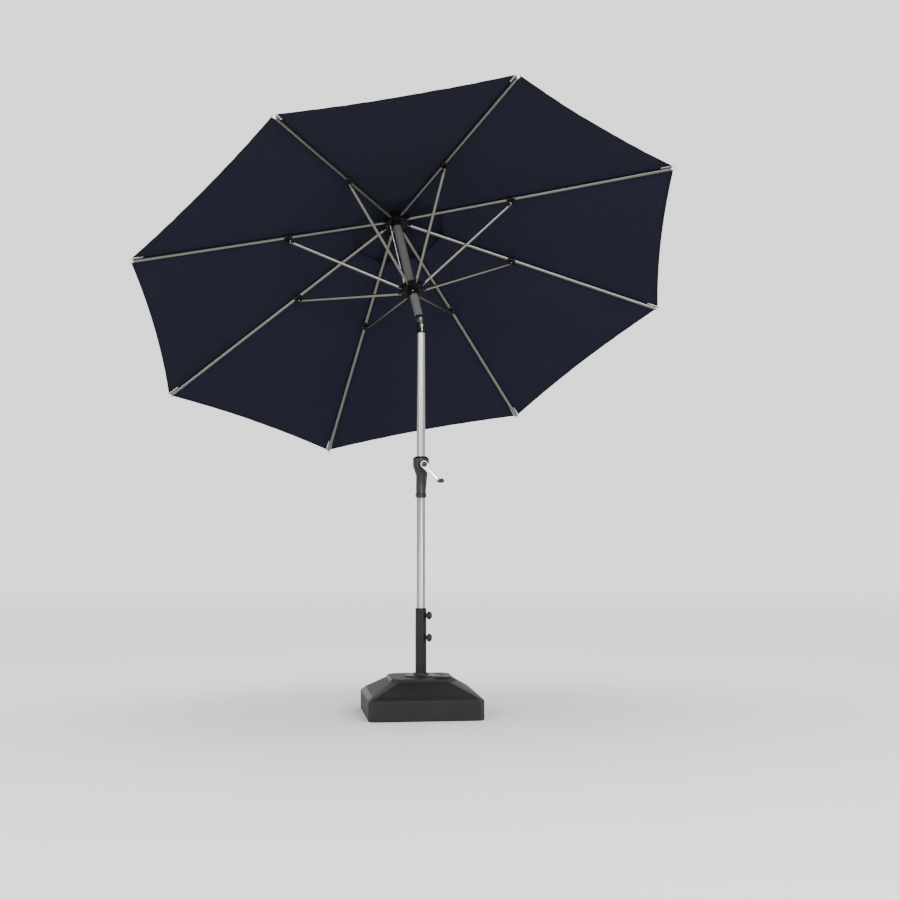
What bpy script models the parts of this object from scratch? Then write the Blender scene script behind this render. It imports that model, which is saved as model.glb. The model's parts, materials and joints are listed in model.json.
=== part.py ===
"""Tilting patio umbrella standing in a filled square base.

The row frame has its origin on the ground under the pole, +Z up and the base's front at -Y.
The umbrella is turned in its base, and its upper pole leans at the tilt joint. Each moving
piece hangs from an empty on its joint's axis, and is modelled in that empty's own axes.
"""
import math

import bmesh
import bpy
from mathutils import Matrix, Vector

# ---------------------------------------------------------------- driving dimensions (metres)
GAP = 0.0003  # between pieces that touch

BASE_HALF = 0.2565  # half the side of the square base
BASE_WALL = 0.004
BASE_FLOOR = 0.006
PLATEAU_Z = 0.172
PLATEAU_HALF = 0.140
FILL_LEVEL = 0.070  # how high the sand stands in the tank
CAP_REACH = 0.122  # fill cap, out from the pole along the base's diagonal
CAP_R = 0.0425
NECK_R = 0.0340

POLE_R = 0.0190
POLE_BORE_R = 0.0175
TUBE_R = 0.02525
TUBE_BORE_R = 0.0222
TUBE_TOP = 0.476
CLAMP_HEIGHTS = {"clamp_knob_upper": 0.446, "clamp_knob_lower": 0.346}
CLAMP_TURN = math.radians(334)  # which way the clamp knobs face

UMBRELLA_TURN = math.radians(13.4)  # the umbrella's turn in its base
JOIN_Z = 1.003  # where the two lengths of the pole meet
CRANK_Z = 1.130
CRANK_ARM = 0.104
CRANK_ANGLE = math.radians(-46)
TILT_Z = 1.763
TILT = math.radians(34.4)  # lean of the upper pole

CROWN_Z = 0.627  # rib pivots above the tilt pivot, along the leaning pole
RUNNER_DROP = 0.414  # from the rib pivots down to the strut pivots
PIVOT_R = 0.048  # radius of both rings of pivots
RIBS = 8
RIB_PHASE = math.radians(273.7)
RIB_LENGTH = 1.326
RIB_R = 0.0082
RIB_TIP = 0.0045  # how far a rib's end cap stands out of its tube
RIB_FALL = math.radians(17.5)  # slope of an open rib
BRACKET_AT = 0.543
BRACKET_DROP = 0.026  # strut pivot below the rib's centre line
STRUT_R = 0.0070

CLOTH = 0.0010
CLOTH_LIFT = RIB_R + 0.0004  # cloth's underside above the rib's centre line
VENT_R = 0.230  # opening at the top of the canopy
HEM_BOW = 0.022  # how far the hem curves in between two ribs
VENT_CAP_R = 0.300
VENT_CAP_TOP = 0.0385
VENT_CAP_HEM = -0.050

CORD_R = 0.0020
CORD_OFFSET = 0.0143  # lift cord behind the tilt tongue
CORD_TURN = RIB_PHASE - math.radians(112.5)  # lift cord half-way between two ribs
CORD_OUT = 0.030
PULLEY_OUT = 0.017
PULLEY_Z = 0.016
SIDES = 32


# ---------------------------------------------------------------- scene helpers
def clear_scene():
    for thing in list(bpy.data.objects):
        bpy.data.objects.remove(thing, do_unlink=True)


def material(name, colour, roughness, metallic=0.0):
    found = bpy.data.materials.get(name) or bpy.data.materials.new(name)
    found.use_nodes = True
    shader = found.node_tree.nodes["Principled BSDF"]
    shader.inputs["Base Color"].default_value = (*colour, 1)
    shader.inputs["Roughness"].default_value = roughness
    shader.inputs["Metallic"].default_value = metallic
    return found


def empty(name, parent=None, location=(0, 0, 0), rotation=(0, 0, 0)):
    axis = bpy.data.objects.new(name, None)
    bpy.context.collection.objects.link(axis)
    axis.parent = parent
    axis.location = location
    axis.rotation_euler = rotation
    return axis


def piece(name, mesh, finish=None, parent=None, location=(0, 0, 0), rotation=(0, 0, 0)):
    mesh.name = name
    if finish:
        mesh.materials.append(finish)
    body = bpy.data.objects.new(name, mesh)
    bpy.context.collection.objects.link(body)
    body.parent = parent
    body.location = location
    body.rotation_euler = rotation
    return body


def tool(name, mesh, like, location=(0, 0, 0), rotation=(0, 0, 0)):
    """A cutter or an addition, in the same axes as the piece that it works on."""
    body = piece(name, mesh, None, like.parent, location, rotation)
    body.hide_render = True
    body.display_type = "WIRE"
    return body


def boolean(body, operand, operation, crossing=False):
    """crossing says that the operand's own shapes run through each other."""
    step = body.modifiers.new(operand.name, "BOOLEAN")
    step.operation = operation
    step.object = operand
    step.solver = "EXACT"
    step.use_self = crossing


def cut(body, operand):
    boolean(body, operand, "DIFFERENCE")


def fuse(body, operand, crossing=False):
    boolean(body, operand, "UNION", crossing)


# ---------------------------------------------------------------- shape helpers
AXIS_TURN = {
    "z": Matrix.Identity(4),
    "x": Matrix.Rotation(math.radians(90), 4, "Y"),
    "-y": Matrix.Rotation(math.radians(90), 4, "X"),
}


def finished(bm, smooth_angle=math.radians(35)):
    bmesh.ops.remove_doubles(bm, verts=bm.verts, dist=1e-7)
    bmesh.ops.recalc_face_normals(bm, faces=bm.faces)
    mesh = bpy.data.meshes.new("mesh")
    bm.to_mesh(mesh)
    bm.free()
    mesh.shade_smooth()
    mesh.set_sharp_from_angle(angle=smooth_angle)
    return mesh


def turned(profile, axis="z", sides=SIDES):
    """Turn a closed (radius, height) outline about an axis."""
    bm = bmesh.new()
    verts = [bm.verts.new((radius, 0, height)) for radius, height in profile]
    edges = [bm.edges.new((a, b)) for a, b in zip(verts, verts[1:] + verts[:1])
             if a.co.x > 0 or b.co.x > 0]
    bmesh.ops.spin(bm, geom=verts + edges, cent=(0, 0, 0), axis=(0, 0, 1),
                   angle=2 * math.pi, steps=sides, use_merge=True)
    bmesh.ops.transform(bm, matrix=AXIS_TURN[axis], verts=bm.verts)
    return finished(bm)


def rod(radius, start, end, axis="z", sides=16):
    return turned([(0, start), (radius, start), (radius, end), (0, end)], axis, sides)


def ring(inner, outer, start, end, axis="z", sides=SIDES):
    return turned([(inner, start), (outer, start), (outer, end), (inner, end)], axis, sides)


def plate(outline, start, end, axis="z"):
    """Extrude a flat outline; on axis -y its second coordinate stands up."""
    bm = bmesh.new()
    face = bm.faces.new([bm.verts.new((u, v, start)) for u, v in outline])
    grown = bmesh.ops.extrude_face_region(bm, geom=[face])
    moved = [part for part in grown["geom"] if isinstance(part, bmesh.types.BMVert)]
    bmesh.ops.translate(bm, verts=moved, vec=(0, 0, end - start))
    bmesh.ops.transform(bm, matrix=AXIS_TURN[axis], verts=bm.verts)
    return finished(bm)


def box(low, high):
    outline = [(low[0], low[1]), (high[0], low[1]), (high[0], high[1]), (low[0], high[1])]
    return plate(outline, low[2], high[2])


def loft(rings):
    """Skin a closed body over rings that have the same number of points."""
    bm = bmesh.new()
    rows = [[bm.verts.new(point) for point in points] for points in rings]
    count = len(rows[0])
    for lower, upper in zip(rows, rows[1:]):
        for i in range(count):
            j = (i + 1) % count
            bm.faces.new((lower[i], lower[j], upper[j], upper[i]))
    bm.faces.new(rows[0])
    bm.faces.new(rows[-1])
    return finished(bm)


def arc(centre, radius, start, end, steps):
    angles = [math.radians(start + (end - start) * i / steps) for i in range(steps + 1)]
    return [(centre[0] + radius * math.cos(a), centre[1] + radius * math.sin(a)) for a in angles]


def joined(meshes):
    """Several separate shapes in one mesh, for one cutter or one group of additions."""
    bm = bmesh.new()
    for mesh, matrix in meshes:
        start = len(bm.verts)
        bm.from_mesh(mesh)
        bm.verts.ensure_lookup_table()
        bmesh.ops.transform(bm, matrix=matrix, verts=bm.verts[start:])
    return finished(bm)


def smooth_route(points, spacing):
    """Points at even steps along a smooth curve through a cord's own route points."""
    knots = [Vector(p) for p in points]
    knots = [2 * knots[0] - knots[1]] + knots + [2 * knots[-1] - knots[-2]]
    route = []
    for a, b, c, d in zip(knots, knots[1:], knots[2:], knots[3:]):
        steps = max(1, round((c - b).length / spacing))
        for i in range(steps):
            t = i / steps
            route.append(0.5 * ((2 * b) + (c - a) * t + (2 * a - 5 * b + 4 * c - d) * t * t
                                + (3 * b - a - 3 * c + d) * t ** 3))
    route.append(knots[-2])
    return route


def cord(name, points, radius, finish, parent):
    curve = bpy.data.curves.new(name, "CURVE")
    curve.dimensions = "3D"
    curve.bevel_depth = radius
    curve.bevel_resolution = 2
    curve.use_fill_caps = True
    spline = curve.splines.new("POLY")
    spline.points.add(len(points) - 1)
    for knot, place in zip(spline.points, points):
        knot.co = (*place, 1)
    curve.materials.append(finish)
    body = bpy.data.objects.new(name, curve)
    bpy.context.collection.objects.link(body)
    body.parent = parent
    return body


# ---------------------------------------------------------------- base
def octagon(half, corner, z):
    """A square ring with its corners cut off."""
    side = half - corner
    return [(side, -half, z), (half, -side, z), (half, side, z), (side, half, z),
            (-side, half, z), (-half, side, z), (-half, -side, z), (-side, -half, z)]


def tank_shell():
    return loft([
        octagon(BASE_HALF - 0.003, 0.018, 0),
        octagon(BASE_HALF, 0.019, 0.003),
        octagon(BASE_HALF, 0.019, 0.089),
        octagon(BASE_HALF - 0.021, 0.020, 0.106),
        octagon(PLATEAU_HALF + 0.009, 0.036, PLATEAU_Z - 0.013),
        octagon(PLATEAU_HALF, 0.034, PLATEAU_Z),
    ])


def tank_hollow(top, shrink=0.0):
    """The space inside the tank, up to a height; shrink leaves a gap all round."""
    half = BASE_HALF - BASE_WALL - shrink
    rings = [octagon(half, 0.020, BASE_FLOOR + shrink)]
    if top < 0.088:
        return loft(rings + [octagon(half, 0.020, top)])
    return loft(rings + [
        octagon(half, 0.020, 0.088),
        octagon(half - 0.020, 0.021, 0.103),
        octagon(PLATEAU_HALF + 0.004, 0.036, PLATEAU_Z - 0.018),
        octagon(PLATEAU_HALF - 0.003, 0.035, top),
    ])


def build_base():
    plastic = material("base_plastic", (0.020, 0.020, 0.021), 0.55)
    steel = material("tube_black_steel", (0.012, 0.012, 0.013), 0.38, 0.2)
    knob_black = material("knob_black", (0.010, 0.010, 0.010), 0.45)
    sand = material("sand_fill", (0.42, 0.34, 0.24), 0.95)
    socket_r = TUBE_R + GAP
    cap_x = CAP_REACH * math.cos(math.radians(-45))
    cap_y = CAP_REACH * math.sin(math.radians(-45))

    tank = piece("base_tank", tank_shell(), plastic)
    cut(tank, tool("tank_hollow", tank_hollow(PLATEAU_Z - 0.005), tank))
    fuse(tank, tool("tank_post", rod(socket_r + 0.0035, 0.004, PLATEAU_Z - 0.003, sides=SIDES), tank))
    cut(tank, tool("tank_socket", rod(socket_r, BASE_FLOOR, 0.2, sides=SIDES), tank))
    cut(tank, tool("tank_neck", rod(NECK_R, 0.12, 0.2, sides=SIDES), tank, (cap_x, cap_y, 0)))

    fill = piece("ballast", tank_hollow(FILL_LEVEL, GAP), sand)
    cut(fill, tool("ballast_hole", rod(socket_r + 0.0035 + GAP, 0, 0.1, sides=SIDES), fill))

    top = PLATEAU_Z + GAP
    piece("tube_flange", turned([
        (socket_r, top), (0.0720, top), (0.0725, top + 0.0030), (0.0715, top + 0.0045),
        (0.0380, top + 0.0060), (0.0365, top + 0.0130), (0.0350, top + 0.0145),
        (socket_r, top + 0.0145)]), plastic)

    foot = BASE_FLOOR + GAP
    tube = piece("base_tube", turned([
        (TUBE_BORE_R, foot), (TUBE_R, foot), (TUBE_R, TUBE_TOP - 0.0012),
        (TUBE_R - 0.0012, TUBE_TOP), (TUBE_BORE_R, TUBE_TOP)]), steel)
    clamp_turn = (0, 0, CLAMP_TURN)
    for name, height in CLAMP_HEIGHTS.items():
        nut = tool(name + "_nut", rod(0.0090, TUBE_BORE_R + 0.0015, 0.0310, "x", 6), tube,
                   (0, 0, height), clamp_turn)
        fuse(tube, nut)
        hole = tool(name + "_thread", rod(0.0044, 0.015, 0.035, "x"), tube,
                    (0, 0, height), clamp_turn)
        cut(tube, hole)
        knob = turned([
            (0, POLE_R + GAP), (0.0032, POLE_R + GAP), (0.0040, POLE_R + 0.0015),
            (0.0040, 0.0335), (0.0160, 0.0335), (0.0180, 0.0355), (0.0180, 0.0455),
            (0.0165, 0.0470), (0.0120, 0.0470), (0.0112, 0.0500), (0.0095, 0.0510),
            (0, 0.0510)], "x")
        piece(name, knob, knob_black, None, (0, 0, height), clamp_turn)

    cap = piece("fill_cap", turned([
        (0, top - 0.010), (NECK_R - GAP, top - 0.010), (NECK_R - GAP, top), (0.0410, top),
        (CAP_R, top + 0.0015), (CAP_R, top + 0.0055), (0.0400, top + 0.0080),
        (0.0250, top + 0.0095), (0, top + 0.0095)]), knob_black, None, (cap_x, cap_y, 0))
    for side in (0, 1):
        recess = plate(arc((0, 0.0035), 0.0155, 0, 180, 10), top - 0.002, top + 0.02)
        cut(cap, tool(f"cap_recess_{side}", recess, cap, (cap_x, cap_y, 0),
                      (0, 0, math.radians(-20 + 180 * side))))
    return knob_black


# ---------------------------------------------------------------- pole and crank
def build_pole(turn, aluminium, knob_black):
    piece("pole_bush", turned([
        (POLE_R + GAP, TUBE_TOP - 0.018), (TUBE_BORE_R - GAP, TUBE_TOP - 0.018),
        (TUBE_BORE_R - GAP, TUBE_TOP + GAP), (TUBE_R - 0.002, TUBE_TOP + GAP),
        (TUBE_R - 0.003, TUBE_TOP + 0.0035), (POLE_R + GAP, TUBE_TOP + 0.0035)]),
        knob_black, turn)

    swage = POLE_BORE_R - GAP
    piece("lower_pole", turned([
        (POLE_BORE_R, 0.0075), (POLE_R, 0.0075), (POLE_R, JOIN_Z - 0.005), (swage, JOIN_Z - 0.002),
        (swage, JOIN_Z + 0.050), (swage - 0.0015, JOIN_Z + 0.050), (swage - 0.0015, JOIN_Z - 0.004),
        (POLE_BORE_R, JOIN_Z - 0.010)]), aluminium, turn)

    pole_top = TILT_Z - 0.036
    pole = piece("main_pole", ring(POLE_BORE_R, POLE_R, JOIN_Z, pole_top), aluminium, turn)
    cut(pole, tool("shaft_window", rod(0.0066, 0.010, 0.030, "-y"), pole, (0, 0, CRANK_Z)))


def housing_half(side):
    """One shell of the crank housing; side is -1 for the front and 1 for the back."""
    levels = [  # height from the crank's axis, half width, half depth
        (-0.150, 0.0240, 0.0240), (-0.1350, 0.0240, 0.0240), (-0.1340, 0.0215, 0.0215),
        (-0.050, 0.0217, 0.0217), (-0.009, 0.0360, 0.0300), (0.027, 0.0360, 0.0300),
        (0.036, 0.0225, 0.0225)]
    squareness = 0.75
    rings = []
    for height, wide, deep in levels:
        outer = [(wide * math.copysign(abs(c) ** squareness, c), side * (deep * s ** squareness))
                 for c, s in arc((0, 0), 1, 0, 180, 12)]
        inner = [(x, side * y) for x, y in arc((0, 0), POLE_R + 0.0004, 180, 0, 12)]
        rings.append([(x, y + side * GAP / 2, height) for x, y in outer + inner])
    return loft(rings)


def build_crank(turn, knob_black):
    shell_black = material("crank_housing_black", (0.014, 0.014, 0.015), 0.48)
    shaft_black = material("crank_shaft_black", (0.030, 0.030, 0.032), 0.35, 0.3)
    bright = material("crank_arm_bright", (0.80, 0.80, 0.80), 0.22, 1.0)
    hub = (0, 0, CRANK_Z)

    piece("crank_housing_back", housing_half(1), shell_black, turn, hub)
    front = piece("crank_housing_front", housing_half(-1), shell_black, turn, hub)
    fuse(front, tool("crank_boss", rod(0.0190, 0.0250, 0.0400, "-y", SIDES), front, hub))
    cut(front, tool("crank_bore", rod(0.0066, 0.015, 0.045, "-y"), front, hub))

    crank = empty("crank_axis", turn, hub)
    piece("crank_spool", turned([
        (0, -0.0095), (0.0130, -0.0095), (0.0130, -0.0075), (0.0080, -0.0070), (0.0080, 0.0070),
        (0.0130, 0.0075), (0.0130, 0.0095), (0.0062, 0.0100), (0.0062, 0.0440), (0.0118, 0.0440),
        (0.0126, 0.0452), (0.0122, 0.0490), (0.0095, 0.0508), (0, 0.0515)], "-y"),
        shaft_black, crank)

    arm_face = 0.0403
    hub_r = 0.0165
    tip_r = 0.0100
    lean = math.degrees(math.acos((hub_r - tip_r) / CRANK_ARM))
    outline = arc((0, 0), hub_r, lean, 360 - lean, 18) + arc((CRANK_ARM, 0), tip_r, -lean, lean, 10)
    arm_turn = (0, -CRANK_ANGLE, 0)
    arm = piece("crank_arm", plate(outline, arm_face, arm_face + 0.0032, "-y"), bright, crank,
                (0, 0, 0), arm_turn)
    cut(arm, tool("arm_bore", rod(0.0065, 0.03, 0.05, "-y"), arm))
    tip = (CRANK_ARM * math.cos(CRANK_ANGLE), 0, CRANK_ARM * math.sin(CRANK_ANGLE))
    fuse(arm, tool("arm_pin", rod(0.0030, arm_face + 0.001, 0.0840, "-y"), arm, tip))
    knob_axis = empty("crank_knob_axis", crank, tip)
    piece("crank_knob", turned([
        (0.0034, 0.0440), (0.0080, 0.0440), (0.0100, 0.0480), (0.0105, 0.0650), (0.0092, 0.0850),
        (0.0070, 0.0880), (0, 0.0885), (0, 0.0846), (0.0034, 0.0846)], "-y", 24),
        knob_black, knob_axis)


# ---------------------------------------------------------------- tilt joint
def tongue_outline(half, reach):
    """A bar that ends in a half round about the pivot, standing up the second axis."""
    return arc((0, 0), half, 180, 360, 12) + [(half, reach), (-half, reach)]


def build_tilt(turn, tilt, knob_black, steel):
    half = 0.0105
    pivot = (0, 0, TILT_Z)
    fork = piece("tilt_fork", turned([
        (0, -0.066), (POLE_BORE_R - GAP, -0.066), (POLE_BORE_R - GAP, -0.0357), (POLE_R, -0.0357),
        (POLE_R, -0.030), (0, -0.030)]), steel, turn, pivot)
    sideways = Matrix.Rotation(math.radians(90), 4, "Z")
    ear = plate([(-x, -y) for x, y in tongue_outline(half, 0.0325)], 0.0078, 0.0150, "-y")
    fuse(fork, tool("fork_ears", joined([
        (ear, sideways), (ear, Matrix.Rotation(math.radians(-90), 4, "Z"))]), fork, pivot))
    cut(fork, tool("fork_pin_hole", rod(0.0038, -0.02, 0.02, "x"), fork, pivot))
    cut(fork, tool("fork_button_hole", rod(0.0040, 0.005, 0.02, "x"), fork, (0, 0, TILT_Z - 0.020)))
    cut(fork, tool("fork_cord_groove", rod(0.0032, -0.08, -0.02), fork, (0, -CORD_OFFSET, TILT_Z)))
    piece("tilt_button", turned([
        (0, 0.0095), (0.0036, 0.0095), (0.0036, 0.0181), (0.0052, 0.0181), (0.0052, 0.0210),
        (0.0040, 0.0222), (0, 0.0224)], "x", 20), steel, turn, (0, 0, TILT_Z - 0.020))
    piece("tilt_pin", turned([
        (0, -0.0178), (0.0045, -0.0178), (0.0062, -0.0165), (0.0062, -0.0153), (0.0035, -0.0153),
        (0.0035, 0.0153), (0.0062, 0.0153), (0.0062, 0.0165), (0.0045, 0.0178), (0, 0.0178)],
        "x", 20), steel, turn, pivot)

    grey = material("tilt_link_grey", (0.22, 0.23, 0.24), 0.40, 0.8)
    tongue = piece("tilt_tongue", joined([
        (plate(tongue_outline(half, 0.078), -0.0072, 0.0072, "-y"), sideways)]), grey, tilt)
    cut(tongue, tool("tongue_pin_hole", rod(0.0038, -0.02, 0.02, "x"), tongue))
    bush = piece("upper_bush", turned([
        (0, 0.034), (POLE_R - 0.001, 0.034), (POLE_R, 0.035), (POLE_R, 0.0497),
        (POLE_BORE_R - GAP, 0.0497), (POLE_BORE_R - GAP, 0.082), (0, 0.082)]), knob_black, tilt)
    cut(bush, tool("bush_slot", box((-0.0075, -half - GAP, 0.02), (0.0075, half + GAP, 0.0785)), bush))
    cut(bush, tool("bush_cord_groove", rod(0.0032, 0.02, 0.1), bush, (0, -CORD_OFFSET, 0)))


# ---------------------------------------------------------------- hubs, ribs and struts
def spoke_turns():
    return [RIB_PHASE + 2 * math.pi * k / RIBS for k in range(RIBS)]


def cut_spokes(hub, half_depth, location):
    """Slots for the rib or strut ends, each crossed by its pivot pin."""
    slots = []
    pins = []
    for angle in spoke_turns():
        around = Matrix.Rotation(angle, 4, "Z")
        slots.append((box((0.0385, -0.0034, -half_depth), (0.07, 0.0034, half_depth)), around))
        place = Matrix.Translation((PIVOT_R, 0, 0))
        pins.append((rod(0.0020, -0.0050, 0.0050, "-y", 12), around @ place))
    cut(hub, tool(hub.name + "_slots", joined(slots), hub, location))
    fuse(hub, tool(hub.name + "_pins", joined(pins), hub, location))


def build_crown(tilt, hub_black):
    crown = (0, 0, CROWN_Z)
    piece("upper_pole", ring(POLE_BORE_R, POLE_R, 0.050, CROWN_Z - 0.004),
          material("upper_pole_grey", (0.16, 0.16, 0.155), 0.35, 0.9), tilt)
    hub = piece("crown_hub", turned([
        (POLE_R + GAP, -0.028), (0.0260, -0.028), (0.0265, -0.012), (0.0550, -0.012),
        (0.0560, -0.011), (0.0560, 0.011), (0.0550, 0.012), (0.0330, 0.012), (0.0330, 0.035),
        (0.0320, 0.036), (0, 0.036), (0, -0.0035), (POLE_R + GAP, -0.0035)]), hub_black, tilt, crown)
    cut_spokes(hub, 0.02, crown)
    towards_cord = (0, 0, CORD_TURN)
    cut(hub, tool("pulley_slot", box((-0.001, -0.0042, -0.0045), (0.040, 0.0042, 0.0335)), hub,
                  crown, towards_cord))
    cord_frame = empty("cord_plane", tilt, crown, towards_cord)
    cord_mouth = tool("cord_mouth", rod(0.0032, -0.03, 0.0), hub, (CORD_OUT, 0, 0))
    cord_mouth.parent = cord_frame
    cut(hub, cord_mouth)
    axle = tool("pulley_axle", rod(0.0020, -0.0060, 0.0060, "-y", 12), hub, (PULLEY_OUT, 0, PULLEY_Z))
    axle.parent = cord_frame
    fuse(hub, axle)
    piece("pulley", turned([
        (0.0023, -0.0032), (0.0142, -0.0032), (0.0142, -0.0027), (0.0106, -0.0020),
        (0.0106, 0.0020), (0.0142, 0.0027), (0.0142, 0.0032), (0.0023, 0.0032)], "-y", 24),
        hub_black, cord_frame, (PULLEY_OUT, 0, PULLEY_Z))
    piece("finial", turned([
        (0, 0.0363), (0.0060, 0.0363), (0.0060, VENT_CAP_TOP + 0.0020), (0.0200, VENT_CAP_TOP + 0.0020),
        (0.0215, 0.0440), (0.0150, 0.0500), (0.0110, 0.0560), (0.0150, 0.0640), (0.0160, 0.0720),
        (0.0120, 0.0800), (0.0060, 0.0840), (0, 0.0850)]), hub_black, tilt, crown)


def build_runner(tilt, hub_black):
    place = (0, 0, CROWN_Z - RUNNER_DROP)
    hub = piece("runner_hub", turned([
        (POLE_R + 0.0006, -0.040), (0.0255, -0.040), (0.0265, -0.039), (0.0265, -0.013),
        (0.0540, -0.013), (0.0550, -0.012), (0.0550, 0.012), (0.0540, 0.013),
        (POLE_R + 0.0006, 0.013)]), hub_black, tilt, place)
    cut_spokes(hub, 0.02, place)


def bar_end(half, start, end, thickness):
    """A flat bar end along +X, rounded about the pivot at its origin."""
    outline = arc((0, 0), half, 90, 270, 10) + [(end, -half), (end, half)]
    return plate([(u + start, v) for u, v in outline], -thickness / 2, thickness / 2, "-y")


def hollow_bar(radius, wall, start, end):
    return turned([(0, start), (radius, start), (radius, end), (0, end), (0, end - 0.002),
                   (radius - wall, end - 0.002), (radius - wall, start + 0.002),
                   (0, start + 0.002)], "x", 16)


def strut_rise():
    """The strut's run, rise, length and slope between its two pivots."""
    run = BRACKET_AT * math.cos(RIB_FALL) - BRACKET_DROP * math.sin(RIB_FALL)
    rise = RUNNER_DROP - BRACKET_AT * math.sin(RIB_FALL) - BRACKET_DROP * math.cos(RIB_FALL)
    return math.hypot(run, rise), math.atan2(rise, run)


def build_rib(number, frame, rib_grey, hub_black):
    axis = empty(f"rib_axis_{number}", frame, (PIVOT_R, 0, 0), (0, RIB_FALL, 0))
    inner = RIB_R - 0.0010
    tube_end = RIB_LENGTH - RIB_TIP
    rib = piece(f"rib_{number}", turned([
        (inner, 0.026), (RIB_R, 0.026), (RIB_R, tube_end), (RIB_R + 0.0002, tube_end + 0.0002),
        (RIB_R + 0.0002, tube_end + 0.0020), (RIB_R - 0.0017, RIB_LENGTH - 0.0006), (0, RIB_LENGTH),
        (0, tube_end - 0.0020), (inner, tube_end - 0.0020)], "x", 16), rib_grey, axis)
    fuse(rib, tool(f"rib_end_{number}", joined([
        (bar_end(0.0060, 0, 0.040, 0.0060), Matrix.Identity(4)),
        (rod(RIB_R - 0.0005, 0.0262, 0.0300, "x"), Matrix.Identity(4))]), rib), True)
    cut(rib, tool(f"rib_hole_{number}", rod(0.0023, -0.01, 0.01, "-y", 12), rib))
    cut(rib, tool(f"rib_drain_{number}", rod(0.0020, -0.012, 0.0, sides=12), rib, (0.060, 0, 0)))

    bracket = piece(f"rib_bracket_{number}", ring(RIB_R + GAP, RIB_R + 0.0033, -0.020, 0.020, "x", 24),
                    hub_black, axis, (BRACKET_AT, 0, 0))
    ear = [(-0.0070, -0.0096), (0.0070, -0.0096)] + [
        (x, -y - BRACKET_DROP) for x, y in arc((0, 0), 0.0070, 0, 180, 10)]
    ears = joined([(plate(ear, 0.0030, 0.0058, "-y"), Matrix.Identity(4)),
                   (plate(ear, -0.0058, -0.0030, "-y"), Matrix.Identity(4))])
    fuse(bracket, tool(f"bracket_ears_{number}", ears, bracket, (BRACKET_AT, 0, 0)))
    fuse(bracket, tool(f"bracket_pin_{number}", rod(0.0020, -0.0050, 0.0050, "-y", 12), bracket,
                       (BRACKET_AT, 0, -BRACKET_DROP)))
    cut(bracket, tool(f"bracket_mouth_{number}", box((-0.03, -0.02, RIB_R - 0.0013), (0.03, 0.02, 0.02)),
                      bracket, (BRACKET_AT, 0, 0)))


def build_strut(number, frame, rib_grey):
    length, slope = strut_rise()
    axis = empty(f"strut_axis_{number}", frame, (PIVOT_R, 0, -RUNNER_DROP), (0, -slope, 0))
    strut = piece(f"strut_{number}", ring(STRUT_R - 0.0010, STRUT_R, 0.022, length - 0.018, "x", 16),
                  rib_grey, axis)
    far_end = Matrix.Translation((length, 0, 0)) @ Matrix.Rotation(math.pi, 4, "Z")
    fuse(strut, tool(f"strut_ends_{number}", joined([
        (bar_end(0.0058, 0, 0.034, 0.0050), Matrix.Identity(4)),
        (bar_end(0.0058, 0, 0.030, 0.0050), far_end),
        (rod(STRUT_R - 0.0005, 0.0222, 0.026, "x"), Matrix.Identity(4)),
        (rod(STRUT_R - 0.0005, 0.0182, 0.022, "x"), far_end)]), strut), True)
    cut(strut, tool(f"strut_hole_{number}", rod(0.0023, -0.01, 0.01, "-y", 12), strut))
    cut(strut, tool(f"strut_slot_{number}", rod(0.0035, -0.01, 0.01, "-y", 12), strut,
                    far_end.translation))
    cut(strut, tool(f"strut_drain_{number}", rod(0.0020, -0.01, 0.0, sides=12), strut, (0.050, 0, 0)))


# ---------------------------------------------------------------- canopy
def rib_line(angle, along):
    """A point of the cloth's underside over a rib, from the crown."""
    out = PIVOT_R + along * math.cos(RIB_FALL) + CLOTH_LIFT * math.sin(RIB_FALL)
    up = CLOTH_LIFT * math.cos(RIB_FALL) - along * math.sin(RIB_FALL)
    return Vector((out * math.cos(angle), out * math.sin(angle), up))


def gore_point(share, along):
    """A point of the flat gore beside a rib at angle 0: share 0 on the rib, 1 at mid gore."""
    step = math.copysign(2 * math.pi / RIBS, share)
    centre = rib_line(0, along)
    middle = (centre + rib_line(step, along)) / 2
    middle -= (middle - centre).normalized() * GAP / 2
    return centre.lerp(middle, abs(share))


def panel_mesh():
    inner = (VENT_R - PIVOT_R) / math.cos(RIB_FALL)
    shares = [-1, -0.66, -0.33, 0, 0.33, 0.66, 1]
    hem = [gore_point(s, RIB_LENGTH - 0.003 - HEM_BOW * (1 - (1 - abs(s)) ** 2)) for s in shares]
    vent = [gore_point(s, inner) for s in shares]
    lower = hem + vent[::-1]
    upper = [point + Vector((0, 0, CLOTH)) for point in lower]
    bm = bmesh.new()
    count = len(lower)
    under = [bm.verts.new(point) for point in lower]
    over = [bm.verts.new(point) for point in upper]
    for i in range(len(shares) - 1):
        a, b, c, d = i, i + 1, count - 2 - i, count - 1 - i
        bm.faces.new([under[k] for k in (a, b, c, d)])
        bm.faces.new([over[k] for k in (d, c, b, a)])
    for i in range(count):
        j = (i + 1) % count
        bm.faces.new((under[j], under[i], over[i], over[j]))
    return finished(bm)


def vent_cap_mesh():
    """The small eight-sided roof over the vent, with a round hole for the finial."""
    turns = spoke_turns()
    flat = [(0.0085, VENT_CAP_TOP), (0.036, VENT_CAP_TOP), (VENT_CAP_R, VENT_CAP_HEM)]
    rings = [[(r * math.cos(a), r * math.sin(a), z) for a in turns] for r, z in flat]
    rings += [[(x, y, z + CLOTH) for x, y, z in points] for points in reversed(rings)]
    bm = bmesh.new()
    rows = [[bm.verts.new(point) for point in points] for points in rings]
    for row, following in zip(rows, rows[1:] + rows[:1]):
        for i in range(RIBS):
            j = (i + 1) % RIBS
            bm.faces.new((row[i], row[j], following[j], following[i]))
    return finished(bm)


def build_canopy_panel(number, angle, tilt, cloth):
    piece(f"canopy_panel_{number}", panel_mesh(), cloth, tilt, (0, 0, CROWN_Z), (0, 0, angle))


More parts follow.
